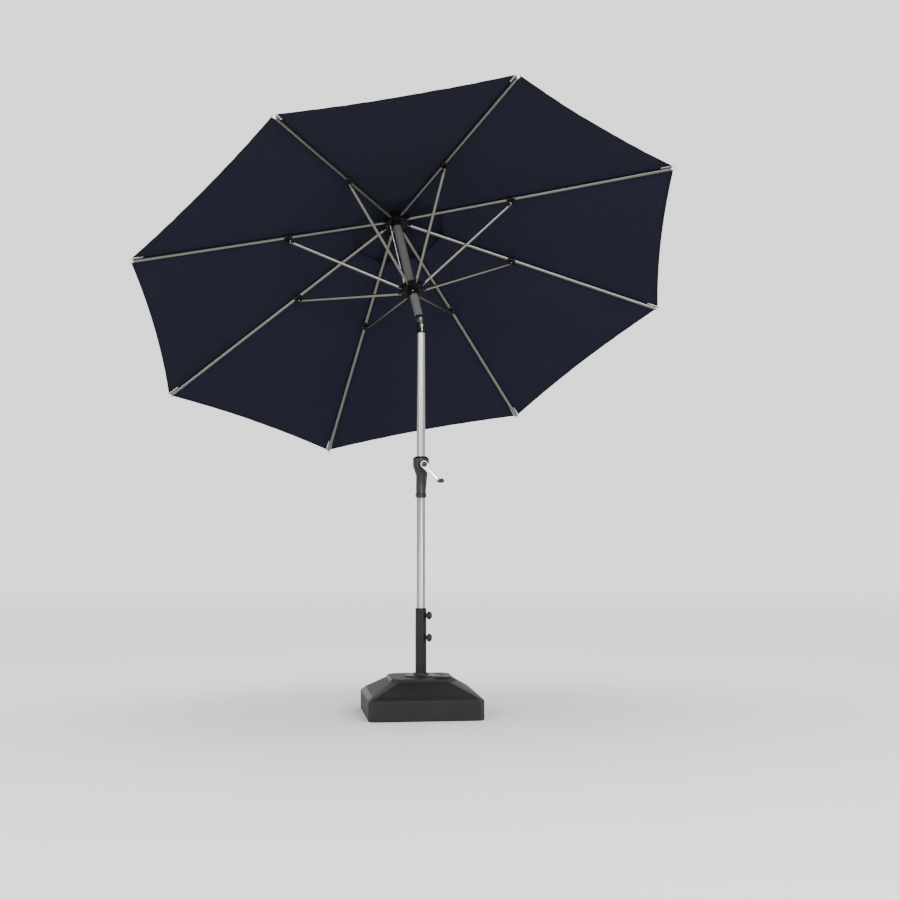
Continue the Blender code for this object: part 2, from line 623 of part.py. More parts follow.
# ---------------------------------------------------------------- lift cord
def build_cords(turn, tilt):
    white = material("cord_white", (0.62, 0.62, 0.60), 0.8)
    corner = CORD_OFFSET * math.tan(TILT / 2)
    stop_short = CORD_R * math.tan(TILT / 2) + GAP
    behind = Vector((0, -CORD_OFFSET, 0))
    lower = [
        Vector((0.0104, 0, CRANK_Z)), Vector((0.0104, -0.0005, CRANK_Z + 0.020)),
        Vector((0.0055, -0.0100, CRANK_Z + 0.120)), behind + Vector((0, 0, CRANK_Z + 0.240)),
        behind + Vector((0, 0, TILT_Z - 0.100)), behind + Vector((0, 0, TILT_Z + corner - stop_short))]
    cord("lift_cord_lower", smooth_route(lower, 0.011), CORD_R, white, turn)

    out = Vector((math.cos(CORD_TURN), math.sin(CORD_TURN), 0))
    rise = Vector((0, 0, 1))
    centre = out * PULLEY_OUT + rise * (CROWN_Z + PULLEY_Z)
    wrap = [centre + 0.013 * (-out * math.cos(a) + rise * math.sin(a))
            for a in [math.pi * i / 8 for i in range(9)]]
    upper = [
        behind + rise * (stop_short - corner), behind + rise * 0.100,
        behind * 0.8 + out * 0.002 + rise * 0.240, out * 0.004 + rise * 0.520,
        out * 0.004 + rise * (CROWN_Z - 0.010)]
    fall = [out * CORD_OUT + rise * (CROWN_Z - 0.010),
            out * CORD_OUT + rise * (CROWN_Z - RUNNER_DROP + 0.013 + GAP)]
    route = smooth_route(upper, 0.014) + wrap + smooth_route(fall, 0.014)
    cord("lift_cord", route, CORD_R, white, tilt)


# ---------------------------------------------------------------- assembly
def build():
    clear_scene()
    knob_black = build_base()
    aluminium = material("pole_aluminium", (0.62, 0.62, 0.62), 0.30, 1.0)
    steel = material("tilt_steel", (0.55, 0.55, 0.55), 0.25, 1.0)
    hub_black = material("hub_black", (0.012, 0.012, 0.012), 0.50)
    rib_grey = material("rib_grey", (0.30, 0.30, 0.27), 0.35, 0.9)
    cloth = material("canopy_cloth", (0.013, 0.014, 0.024), 0.90)

    turn = empty("umbrella_axis", None, (0, 0, 0), (0, 0, UMBRELLA_TURN))
    build_pole(turn, aluminium, knob_black)
    build_crank(turn, knob_black)
    tilt = empty("tilt_axis", turn, (0, 0, TILT_Z), (-TILT, 0, 0))
    build_tilt(turn, tilt, knob_black, steel)
    build_crown(tilt, hub_black)
    build_runner(tilt, hub_black)
    for number, angle in enumerate(spoke_turns(), 1):
        frame = empty(f"spoke_{number}", tilt, (0, 0, CROWN_Z), (0, 0, angle))
        build_rib(number, frame, rib_grey, hub_black)
        build_strut(number, frame, rib_grey)
        build_canopy_panel(number, angle, tilt, cloth)
    piece("vent_canopy", vent_cap_mesh(), cloth, tilt, (0, 0, CROWN_Z))
    build_cords(turn, tilt)


build()
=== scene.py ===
"""Looks of the tilting patio umbrella that stands in a filled square base."""
import json
import math

import bmesh
import bpy
from mathutils import Matrix, Vector, noise


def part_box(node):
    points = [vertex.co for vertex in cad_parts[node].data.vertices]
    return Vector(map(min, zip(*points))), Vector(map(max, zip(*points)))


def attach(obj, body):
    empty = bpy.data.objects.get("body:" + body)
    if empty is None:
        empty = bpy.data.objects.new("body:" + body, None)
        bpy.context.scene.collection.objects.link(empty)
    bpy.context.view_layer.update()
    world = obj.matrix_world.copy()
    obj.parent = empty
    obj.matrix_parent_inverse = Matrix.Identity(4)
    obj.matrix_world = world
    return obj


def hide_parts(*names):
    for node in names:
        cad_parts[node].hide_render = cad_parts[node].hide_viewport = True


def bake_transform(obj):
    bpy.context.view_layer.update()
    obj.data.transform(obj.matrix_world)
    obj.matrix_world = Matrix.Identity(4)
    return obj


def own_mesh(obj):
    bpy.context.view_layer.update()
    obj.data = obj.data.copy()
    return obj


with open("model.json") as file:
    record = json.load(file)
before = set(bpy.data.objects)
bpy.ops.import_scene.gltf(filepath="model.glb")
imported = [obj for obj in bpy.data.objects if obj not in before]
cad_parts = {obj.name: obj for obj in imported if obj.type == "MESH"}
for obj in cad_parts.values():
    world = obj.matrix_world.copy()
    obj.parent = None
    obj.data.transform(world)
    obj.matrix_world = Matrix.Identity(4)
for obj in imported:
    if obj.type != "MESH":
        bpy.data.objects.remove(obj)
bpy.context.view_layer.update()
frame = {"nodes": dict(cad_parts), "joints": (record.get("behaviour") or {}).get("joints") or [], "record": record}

# ---------------------------------------------------------------- sizes (metres), as in the design
BASE_HALF = 0.2565
PLATEAU_Z = 0.172
PLATEAU_HALF = 0.140
TUBE_R = 0.02525
PIVOT_R = 0.048
RIB_LENGTH = 1.326
RIB_R = 0.0082
RIB_FALL = math.radians(17.5)
BRACKET_AT = 0.543
BRACKET_DROP = 0.026
RUNNER_DROP = 0.414
CLOTH_LIFT = RIB_R + 0.0004  # cloth's underside above the rib's centre line
CLOTH = 0.0007
VENT_R = 0.230
HEM_BOW = 0.022
VENT_CAP_R = 0.300
VENT_CAP_FLAT = 0.036  # level middle of the vent roof, round the finial
VENT_CAP_TOP = 0.0385
VENT_CAP_HEM = -0.050
CORD_R = 0.0020
CORD_OUT = 0.030
CORD_OFFSET = 0.0143
PULLEY_OUT = 0.017
PULLEY_Z = 0.016
GORE_SAG = 0.009
HEM_WIDTH = 0.022
SEAM_HALF = 0.007
SEAM_LAP = 0.0013  # gore's extra width past mid gore; neighbours overlap by twice this
RIBS = 8
SPOKE_STEP = 2 * math.pi / RIBS

# camera, in the plan of the base: distance from the pole, height, and where it looks
CAMERA_REACH = 7.666
CAMERA_HEIGHT = 1.02
CAMERA_SIDE = math.radians(6.0)
CAMERA_YAW = 0.0172
CAMERA_PITCH = 0.0228
CAMERA_LENS = 67.55
SKY = 1.7

# ---------------------------------------------------------------- places, from the frame's joints
JOINTS = {joint["name"]: joint for joint in frame["joints"]}
PIVOT = Vector(JOINTS["tilt_hinge"]["pos_m"])
RIB_PIVOTS = [Vector(JOINTS[f"rib_{k}_fold"]["pos_m"]) for k in range(1, RIBS + 1)]
CROWN = sum(RIB_PIVOTS, Vector()) / RIBS
UP = (CROWN - PIVOT).normalized()


def spoke(k):
    """Axes of spoke k, with X out along it, Z up the leaning pole and the crown at the origin."""
    out = (RIB_PIVOTS[k] - CROWN).normalized()
    side = UP.cross(out)
    rows = [(out[i], side[i], UP[i], CROWN[i]) for i in range(3)]
    return Matrix(rows + [(0, 0, 0, 1)])


def rib_axes(k):
    """Axes of rib k, with X along the rib from its pivot and Z up through the cloth."""
    return spoke(k) @ Matrix.Translation((PIVOT_R, 0, 0)) @ Matrix.Rotation(RIB_FALL, 4, "Y")


# ---------------------------------------------------------------- material helpers
class Nodes:
    """A short way to write a material's node tree."""

    def __init__(self, name):
        self.material = bpy.data.materials.new(name)
        self.material.use_nodes = True
        self.tree = self.material.node_tree
        self.shader = self.tree.nodes["Principled BSDF"]

    def link(self, value, socket):
        if isinstance(value, (int, float)):
            socket.default_value = value
        elif isinstance(value, tuple):
            socket.default_value = (*value, 1.0)[:len(socket.default_value)]
        else:
            self.tree.links.new(value, socket)

    def node(self, kind, **settings):
        made = self.tree.nodes.new(kind)
        for key, value in settings.items():
            setattr(made, key, value)
        return made

    def math(self, operation, a, b=0.0, c=0.0):
        made = self.node("ShaderNodeMath", operation=operation)
        for value, socket in zip((a, b, c), made.inputs):
            self.link(value, socket)
        return made.outputs[0]

    def place(self, scale=(1.0, 1.0, 1.0), source="Object"):
        mapping = self.node("ShaderNodeMapping")
        mapping.inputs["Scale"].default_value = scale
        self.link(self.node("ShaderNodeTexCoord").outputs[source], mapping.inputs["Vector"])
        return mapping.outputs[0]

    def noise(self, scale, detail=3.0, stretch=(1.0, 1.0, 1.0), roughness=0.5):
        made = self.node("ShaderNodeTexNoise")
        self.link(self.place(stretch), made.inputs["Vector"])
        made.inputs["Scale"].default_value = scale
        made.inputs["Detail"].default_value = detail
        made.inputs["Roughness"].default_value = roughness
        return made.outputs["Fac"]

    def cells(self, scale, feature="F1"):
        made = self.node("ShaderNodeTexVoronoi", feature=feature)
        self.link(self.place(), made.inputs["Vector"])
        made.inputs["Scale"].default_value = scale
        return made.outputs["Distance"]

    def attribute(self, name):
        return self.node("ShaderNodeAttribute", attribute_name=name).outputs["Fac"]

    def ramp(self, value, low, high):
        """0 below low and 1 above high, with a soft step between them."""
        made = self.node("ShaderNodeMapRange", interpolation_type="SMOOTHSTEP")
        self.link(value, made.inputs["Value"])
        made.inputs["From Min"].default_value = low
        made.inputs["From Max"].default_value = high
        return made.outputs["Result"]

    def span(self, value, low, high):
        """Turns 0 to 1 into low to high."""
        return self.math("MULTIPLY_ADD", value, high - low, low)

    def mix(self, share, a, b):
        made = self.node("ShaderNodeMix", data_type="RGBA")
        self.link(share, made.inputs["Factor"])
        self.link(a, made.inputs["A"])
        self.link(b, made.inputs["B"])
        return made.outputs["Result"]

    def bump(self, height, depth, below=None):
        made = self.node("ShaderNodeBump")
        made.inputs["Distance"].default_value = depth
        made.inputs["Strength"].default_value = 1.0
        self.link(height, made.inputs["Height"])
        if below is not None:
            self.link(below, made.inputs["Normal"])
        return made.outputs["Normal"]

    def done(self, colour, roughness, normal=None, metallic=0.0, **sockets):
        self.link(colour, self.shader.inputs["Base Color"])
        self.link(roughness, self.shader.inputs["Roughness"])
        self.link(metallic, self.shader.inputs["Metallic"])
        if normal is not None:
            self.link(normal, self.shader.inputs["Normal"])
        for name, value in sockets.items():
            self.link(value, self.shader.inputs[name.replace("_", " ")])
        return self.material


def grey(level, warm=0.0):
    """A grey, or a warmer one with that share of its blue left out."""
    return (level, level, level * (1 - warm))


# ---------------------------------------------------------------- materials
def cloth_material():
    """Woven navy canopy cloth with its rib seams, folded hem and rows of stitches."""
    n = Nodes("canopy_weave")
    uv = n.node("ShaderNodeSeparateXYZ")
    n.link(n.place(source="UV"), uv.inputs[0])
    across, along = uv.outputs[0], uv.outputs[1]
    warp = n.math("SINE", n.math("MULTIPLY", across, 2 * math.pi / 0.0011))
    weft = n.math("SINE", n.math("MULTIPLY", along, 2 * math.pi / 0.0011))
    weave = n.math("MULTIPLY", warp, weft)
    rib = n.attribute("from_rib")
    hem = n.attribute("from_hem")
    seam = n.math("SUBTRACT", 1.0, n.ramp(rib, SEAM_HALF - 0.001, SEAM_HALF + 0.001))
    fold = n.math("SUBTRACT", 1.0, n.ramp(hem, HEM_WIDTH - 0.001, HEM_WIDTH + 0.001))

    def row(distance, at, run):
        """Stitches 4 mm apart along a line at that distance from an edge."""
        near = n.math("SUBTRACT", 1.0, n.ramp(n.math("ABSOLUTE", n.math("SUBTRACT", distance, at)),
                                              0.0002, 0.0008))
        beat = n.math("SINE", n.math("MULTIPLY", run, 2 * math.pi / 0.004))
        return n.math("MULTIPLY", near, n.ramp(beat, -0.6, -0.2))

    stitches = n.math("MAXIMUM", row(rib, SEAM_HALF - 0.002, along), row(hem, HEM_WIDTH - 0.003, across))
    cloudy = n.noise(3.0, 4.0)
    threads = n.noise(900.0, 2.0)
    colour = n.mix(n.span(cloudy, 0.1, 0.9), (0.0056, 0.0062, 0.0124), (0.0086, 0.0094, 0.0176))
    colour = n.mix(n.math("MULTIPLY", threads, 0.35), colour, (0.013, 0.014, 0.026))
    colour = n.mix(n.math("MULTIPLY", n.math("MAXIMUM", seam, fold), 0.25), colour, (0.004, 0.004, 0.008))
    colour = n.mix(n.math("MULTIPLY", stitches, 0.6), colour, (0.020, 0.022, 0.036))
    normal = n.bump(weave, 0.00012)
    normal = n.bump(n.math("MAXIMUM", seam, fold), 0.0006, normal)
    normal = n.bump(stitches, 0.0004, normal)
    normal = n.bump(n.noise(14.0, 3.0), 0.0030, normal)
    return n.done(colour, n.span(threads, 0.78, 0.95), normal, Specular_IOR_Level=0.06)


def brushed_metal(name, level, warm, roughness, stretch, metallic=1.0, grain=0.25):
    """Metal with fine drawing lines, faint stains and duller worn patches."""
    n = Nodes(name)
    lines = n.noise(700.0, 2.0, stretch)
    patches = n.noise(9.0, 5.0)
    colour = n.mix(patches, grey(level * 0.88, warm), grey(level * 1.06, warm))
    colour = n.mix(n.math("MULTIPLY", lines, grain), colour, grey(level * 0.7, warm))
    rough = n.math("ADD", n.span(patches, roughness - 0.05, roughness + 0.07),
                   n.math("MULTIPLY", lines, 0.06))
    return n.done(colour, rough, n.bump(lines, 0.00012 * grain), metallic)


def painted_metal(name, level, roughness):
    """Baked powder coat: a fine orange peel over steel."""
    n = Nodes(name)
    peel = n.noise(650.0, 2.0)
    dust = n.noise(22.0, 5.0)
    colour = n.mix(dust, grey(level * 0.8), grey(level * 1.35))
    return n.done(colour, n.span(dust, roughness - 0.05, roughness + 0.08), n.bump(peel, 0.00008),
                  Specular_IOR_Level=0.22)


def moulded_plastic(name, level, roughness, specular=0.30):
    """Black moulding with a fine satin grain and slightly paler rubbed areas."""
    n = Nodes(name)
    grain = n.cells(1400.0)
    rub = n.noise(35.0, 4.0)
    colour = n.mix(n.ramp(rub, 0.35, 0.75), grey(level * 0.75), grey(level * 1.5))
    return n.done(colour, n.span(rub, roughness - 0.06, roughness + 0.10), n.bump(grain, 0.00006),
                  Specular_IOR_Level=specular)


def pebbled_plastic():
    """The base's grained faces: close pebbles about two millimetres across, with painted highlights on their
    crowns and on the grain's peaks and painted shade in the hollows between them.
    """
    n = Nodes("base_pebbled")
    pebbles = n.cells(480.0)
    fine = n.noise(900.0, 3.0)
    dust = n.noise(7.0, 5.0)
    # painted highlight and shade: each pebble's crown is painted lighter and the hollows between pebbles darker
    crown = n.ramp(pebbles, 0.75, 0.10)
    colour = n.mix(crown, (0.0030, 0.0030, 0.0032), (0.0090, 0.0090, 0.0093))
    # painted highlights: pale speckles on the peaks of the fine grain
    colour = n.mix(n.math("MULTIPLY", n.ramp(fine, 0.52, 0.70), 0.5), colour, (0.030, 0.030, 0.031))
    colour = n.mix(n.math("MULTIPLY", n.ramp(dust, 0.45, 0.75), 0.25), colour, (0.016, 0.016, 0.016))
    normal = n.bump(fine, 0.0002, n.bump(pebbles, -0.0009))
    return n.done(colour, n.span(fine, 0.48, 0.70), normal, Specular_IOR_Level=0.25)


def smooth_plastic():
    """The base's flat hips and edge bands, which are smooth between the grained faces."""
    n = Nodes("base_smooth")
    haze = n.noise(12.0, 4.0)
    scuffs = n.noise(160.0, 2.0, (1.0, 6.0, 1.0))
    colour = n.mix(haze, (0.0070, 0.0070, 0.0072), (0.0120, 0.0120, 0.0122))
    rough = n.math("ADD", n.span(haze, 0.38, 0.48), n.math("MULTIPLY", scuffs, 0.06))
    return n.done(colour, rough, n.bump(scuffs, 0.00008), Specular_IOR_Level=0.30)


def sand_material():
    n = Nodes("sand_grains")
    grains = n.cells(900.0)
    damp = n.noise(18.0, 4.0)
    colour = n.mix(damp, (0.30, 0.23, 0.15), (0.48, 0.39, 0.27))
    return n.done(colour, 0.92, n.bump(grains, 0.0006))


def cord_material():
    n = Nodes("cord_braid")
    fibres = n.noise(1500.0, 2.0)
    soil = n.noise(40.0, 3.0)
    colour = n.mix(soil, (0.50, 0.50, 0.48), (0.72, 0.72, 0.70))
    return n.done(colour, 0.85, n.bump(fibres, 0.0002), Sheen_Weight=0.2)


MATERIALS = {
    "base_plastic": smooth_plastic(),
    "sand_fill": sand_material(),
    "tube_black_steel": painted_metal("tube_powder_coat", 0.0040, 0.36),
    "knob_black": moulded_plastic("knob_moulding", 0.0045, 0.42),
    "pole_aluminium": brushed_metal("pole_drawn_aluminium", 0.29, 0.03, 0.27, (1.0, 1.0, 0.01), 1.0, 0.06),
    "upper_pole_grey": brushed_metal("upper_pole_drawn", 0.15, 0.04, 0.38, (1.0, 1.0, 0.02), 0.45, 0.08),
    "crank_housing_black": moulded_plastic("housing_moulding", 0.0045, 0.36),
    "crank_shaft_black": moulded_plastic("shaft_cap_moulding", 0.012, 0.30),
    "crank_arm_bright": brushed_metal("arm_polished", 0.92, 0.0, 0.16, (1.0, 1.0, 1.0), 1.0, 0.10),
    "tilt_steel": brushed_metal("tilt_joint_steel", 0.62, 0.0, 0.24, (1.0, 1.0, 0.1)),
    "tilt_link_grey": brushed_metal("tilt_link_grey", 0.14, 0.0, 0.36, (1.0, 1.0, 0.1), 0.45),
    "hub_black": moulded_plastic("hub_moulding", 0.0030, 0.50, 0.10),
    "rib_grey": brushed_metal("rib_champagne", 0.17, 0.14, 0.28, (1.0, 1.0, 1.0)),
    "canopy_cloth": cloth_material(),
    "cord_white": cord_material(),
}
PEBBLED = pebbled_plastic()
BRIGHT_CAP = brushed_metal("rib_cap_bright", 0.80, 0.0, 0.20, (1.0, 1.0, 1.0))
# matte white for the rib-end strap, which also serves as a painted highlight for the bright reflection at each
# rib's end
PALE_STRAP_PAINTED_HIGHLIGHT = moulded_plastic("strap_painted_highlight", 0.55, 0.50)


# ---------------------------------------------------------------- piece helpers
def new_piece(name, bm, slot, body, materials=None, smooth=35.0):
    bmesh.ops.recalc_face_normals(bm, faces=bm.faces)
    mesh = bpy.data.meshes.new(name)
    bm.to_mesh(mesh)
    bm.free()
    mesh.shade_smooth()
    mesh.set_sharp_from_angle(angle=math.radians(smooth))
    made = bpy.data.objects.new(name, mesh)
    bpy.context.scene.collection.objects.link(made)
    for finish in materials or [MATERIALS[slot]]:
        mesh.materials.append(finish)
    if body:
        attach(made, body)
    return made


def doubled(sheet, up):
    """Gives a sheet its thickness, with crisp rims, on the side that faces along up."""
    if sheet.data.polygons[0].normal.dot(up) < 0:
        sheet.data.flip_normals()
    shell = sheet.modifiers.new("cloth", "SOLIDIFY")
    shell.thickness = CLOTH
    shell.offset = 1.0
    bpy.context.view_layer.update()
    solid = bpy.data.meshes.new_from_object(sheet.evaluated_get(bpy.context.evaluated_depsgraph_get()))
    sheet.modifiers.clear()
    sheet.data = solid
    solid.shade_smooth()
    solid.set_sharp_from_angle(angle=math.radians(60))
    return sheet


def rounded(piece, width, segments=2, angle=32.0):
    edge = piece.modifiers.new("edges", "BEVEL")
    edge.width = width
    edge.segments = segments
    edge.limit_method = "ANGLE"
    edge.angle_limit = math.radians(angle)
    edge.harden_normals = False
    return piece


def turned(bm, profile, matrix=Matrix.Identity(4), sides=64, lobes=0, depth=0.0, lobed_from=1.0):
    """Turn a closed (radius, height) outline about Z; lobes flute what lies beyond lobed_from."""
    rows = []
    for i in range(sides):
        turn = 2 * math.pi * i / sides
        row = []
        for radius, height in profile:
            wave = depth * (1 + math.cos(lobes * turn)) / 2 if lobes and radius >= lobed_from else 0
            at = Vector(((radius - wave) * math.cos(turn), (radius - wave) * math.sin(turn), height))
            row.append(bm.verts.new(matrix @ at))
        rows.append(row)
    for row, following in zip(rows, rows[1:] + rows[:1]):
        for j in range(len(profile)):
            k = (j + 1) % len(profile)
            if profile[j][0] == 0 and profile[k][0] == 0:
                continue
            bm.faces.new((row[j], following[j], following[k], row[k]))
    bmesh.ops.remove_doubles(bm, verts=bm.verts, dist=1e-7)
    return bm


def refined(node, width=0.0005, smooth=35.0):
    """A node's own shape with clean faces, softened edges and its finish."""
    source = frame["nodes"][node]
    bm = bmesh.new()
    bm.from_mesh(source.data)
    bmesh.ops.remove_doubles(bm, verts=bm.verts, dist=2e-6)
    bmesh.ops.dissolve_limit(bm, angle_limit=math.radians(0.6), verts=bm.verts, edges=bm.edges)
    slot = next(s["material_slot"] for s in frame["record"]["subparts"] if s["node"] == node)
    body = next(b for b, members in frame["record"]["behaviour"]["bodies"].items() if node in members)
    made = new_piece(node + "_look", bm, slot, body, smooth=smooth)
    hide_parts(node)
    if width:
        rounded(made, width)
    return made


def along(direction, at):
    """A matrix that stands local Z along a direction, from a point."""
    return Matrix.Translation(at) @ Vector(direction).to_track_quat("Z", "Y").to_matrix().to_4x4()


# ---------------------------------------------------------------- base
def octagon(half, corner, z):
    side = half - corner
    return [Vector(p) for p in (
        (side, -half, z), (half, -side, z), (half, side, z), (side, half, z),
        (-side, half, z), (-half, side, z), (-half, -side, z), (-side, -half, z))]


def build_base():
    """The tank's outer skin, with grained faces between smooth hips and bands."""
    rings = [
        octagon(BASE_HALF - 0.003, 0.018, 0.0), octagon(BASE_HALF, 0.019, 0.003),
        octagon(BASE_HALF, 0.019, 0.089), octagon(BASE_HALF - 0.021, 0.020, 0.106),
        octagon(PLATEAU_HALF + 0.009, 0.036, PLATEAU_Z - 0.013), octagon(PLATEAU_HALF, 0.034, PLATEAU_Z)]
    grained_bands = (1, 3)
    bm = bmesh.new()
    rows = [[bm.verts.new(p) for p in ring] for ring in rings]
    for band, (low, high) in enumerate(zip(rows, rows[1:])):
        for i in range(8):
            j = (i + 1) % 8
            face = bm.faces.new((low[i], low[j], high[j], high[i]))
            face.material_index = 1 if band in grained_bands and i % 2 else 0
    bm.faces.new(rows[0][::-1])
    top = bm.faces.new(rows[-1])
    top.material_index = 1
    shell = new_piece("base_shell", bm, "base_plastic", "base", [MATERIALS["base_plastic"], PEBBLED])
    rounded(shell, 0.0028, 3, 14.0)
    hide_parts("base_tank")

    bm = turned(bmesh.new(), [
        (TUBE_R + 0.0003, 0.1723), (0.0715, 0.1723), (0.0722, 0.1727), (0.0725, 0.1735), (0.0724, 0.1753),
        (0.0716, 0.1763), (0.0700, 0.1768), (0.0400, 0.1779), (0.0380, 0.1784), (0.0369, 0.1796),
        (0.0365, 0.1815), (0.0365, 0.1850), (0.0361, 0.1863), (0.0350, 0.1868),
        (TUBE_R + 0.0020, 0.1868), (TUBE_R + 0.0003, 0.1860)], sides=96)
    flange = new_piece("flange_plate", bm, "base_plastic", "base")
    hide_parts("tube_flange")
    refined("base_tube", 0.0006)
    refined("ballast", 0.002)

    for name in ("upper", "lower"):
        joint = JOINTS[f"clamp_{name}_turn"]
        matrix = along(joint["axis"], Vector(joint["pos_m"]))
        bm = turned(bmesh.new(), [
            (0, 0.0195), (0.0032, 0.0195), (0.0040, 0.0207), (0.0040, 0.0325), (0.0068, 0.0325),
            (0.0068, 0.0335), (0.0150, 0.0335), (0.0170, 0.0342), (0.0180, 0.0360), (0.0181, 0.0400),
            (0.0180, 0.0445), (0.0172, 0.0462), (0.0158, 0.0468), (0.0124, 0.0466), (0.0117, 0.0474),
            (0.0114, 0.0496), (0.0104, 0.0507), (0.0085, 0.0510), (0.0078, 0.0503), (0, 0.0501)],
            matrix, 120, 10, 0.0016, 0.0165)
        knob = new_piece(f"clamp_knob_{name}_grip", bm, "knob_black", f"clamp_{name}")
        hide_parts(f"clamp_knob_{name}")


def build_fill_cap():
    """A stepped screw cap with two finger recesses either side of a grip bar."""
    low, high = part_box("fill_cap")
    centre = Vector(((low.x + high.x) / 2, (low.y + high.y) / 2, 0))
    top = PLATEAU_Z + 0.0003
    place = Matrix.Translation(centre)
    bm = turned(bmesh.new(), [
        (0, top - 0.010), (0.0335, top - 0.010), (0.0337, top), (0.0412, top), (0.0422, top + 0.0008),
        (0.0425, top + 0.0020), (0.0424, top + 0.0048), (0.0415, top + 0.0058), (0.0395, top + 0.0062),
        (0.0372, top + 0.0066), (0.0366, top + 0.0080), (0.0355, top + 0.0092), (0.0335, top + 0.0096),
        (0.0215, top + 0.0094), (0.0205, top + 0.0088), (0.0195, top + 0.0092), (0, top + 0.0095)],
        place, 96)
    cap = new_piece("fill_cap_top", bm, "knob_black", None)
    for side in (0, 1):
        bm = bmesh.new()
        turn = Matrix.Rotation(math.radians(-20 + 180 * side), 4, "Z")
        outline = [(0.0150 * math.cos(math.pi * i / 20), 0.0032 + 0.0150 * math.sin(math.pi * i / 20))
                   for i in range(21)]
        floor = [bm.verts.new(place @ turn @ Vector((x * 0.94, y * 0.97, top + 0.0005))) for x, y in outline]
        roof = [bm.verts.new(place @ turn @ Vector((x, y, top + 0.02))) for x, y in outline]
        bm.faces.new(floor[::-1])
        bm.faces.new(roof)
        for i in range(len(outline)):
            j = (i + 1) % len(outline)
            bm.faces.new((floor[i], floor[j], roof[j], roof[i]))
        tool = new_piece(f"recess_tool_{side}", bm, "knob_black", None)
        step = cap.modifiers.new("recess", "BOOLEAN")
        step.object = tool
        step.operation = "DIFFERENCE"
        bpy.context.view_layer.update()
        carved = bpy.data.meshes.new_from_object(cap.evaluated_get(bpy.context.evaluated_depsgraph_get()))
        cap.modifiers.clear()
        cap.data = carved
        bpy.data.objects.remove(tool)
    cap.data.shade_smooth()
    cap.data.set_sharp_from_angle(angle=math.radians(35))
    rounded(cap, 0.0004, 2, 40.0)
    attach(cap, "fill_cap")
    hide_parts("fill_cap")


# ---------------------------------------------------------------- canopy
def rib_line(angle, s):
    out = PIVOT_R + s * math.cos(RIB_FALL) + CLOTH_LIFT * math.sin(RIB_FALL)
    up = CLOTH_LIFT * math.cos(RIB_FALL) - s * math.sin(RIB_FALL)
    return Vector((out * math.cos(angle), out * math.sin(angle), up))


VENT_S = (VENT_R - PIVOT_R) / math.cos(RIB_FALL)
HEM_S = RIB_LENGTH - 0.003


def gore_point(share, t, matrix):
    """A point of the taut cloth: share 0 on the rib to 1 at mid gore, t 0 at the vent to 1 at the hem."""
    q = abs(share)
    hem = HEM_S - HEM_BOW * (1 - (1 - q) ** 2)
    s = VENT_S + (hem - VENT_S) * t
    centre = rib_line(0, s)
    middle = (centre + rib_line(math.copysign(SPOKE_STEP, share), s)) / 2
    flat = centre.lerp(middle, q) + (middle - centre).normalized() * SEAM_LAP * q
    normal = (middle - centre).cross(rib_line(0, s + 0.1) - centre)
    normal = normal.normalized() * (1 if normal.z > 0 else -1)
    sag = GORE_SAG * math.sin(math.pi * q / 2) * math.sin(math.pi * (0.10 + 0.78 * t))
    world = matrix @ flat
    pull = 0.0022 * noise.noise(world * 3.1) + 0.0011 * noise.noise(world * 9.0 + Vector((5, 2, 9)))
    puckers = 0.0011 * math.sin(46 * q * (1 - 0.35 * t)) * math.exp(-(1 - t) * 9) * math.sin(math.pi * q)
    lift = (pull * math.sin(math.pi * q / 2) ** 0.7 + puckers) * min(1, 4 * q)
    return flat + normal * (lift - sag), s, centre


def build_gore(k):
    """The cloth that rib k carries, half a gore to each side, as one sheet."""
    matrix = spoke(k)
    halves = [-1, -0.985] + [i / 14 for i in range(-13, 14)] + [0.985, 1]
    rows = [0, 0.012, 0.03] + [0.03 + 0.94 * i / 44 for i in range(1, 45)] + [0.98, 0.992, 1.0]
    bm = bmesh.new()
    uv = bm.loops.layers.uv.new("weave")
    from_rib = bm.verts.layers.float.new("from_rib")
    from_hem = bm.verts.layers.float.new("from_hem")
    grid, flat = [], {}
    area = 0.0
    for t in rows:
        line = []
        for share in halves:
            point, s, centre = gore_point(share, t, matrix)
            vert = bm.verts.new(matrix @ point)
            across = math.copysign((point - centre).length, share)
            vert[from_rib] = abs(across)
            vert[from_hem] = min((1 - t) * (HEM_S - VENT_S), t * (HEM_S - VENT_S))
            flat[vert] = (across, s)
            line.append(vert)
        grid.append(line)
    for lower, upper in zip(grid, grid[1:]):
        for a, b, c, d in zip(lower, lower[1:], upper[1:], upper):
            face = bm.faces.new((a, b, c, d))
            area += face.calc_area()
    for face in bm.faces:
        for loop in face.loops:
            loop[uv].uv = flat[loop.vert]
    sheet = new_piece(f"canopy_gore_{k + 1}", bm, "canopy_cloth", f"rib_{k + 1}", smooth=60)
    doubled(sheet, UP)
    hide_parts(f"canopy_panel_{k + 1}")
    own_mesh(sheet)


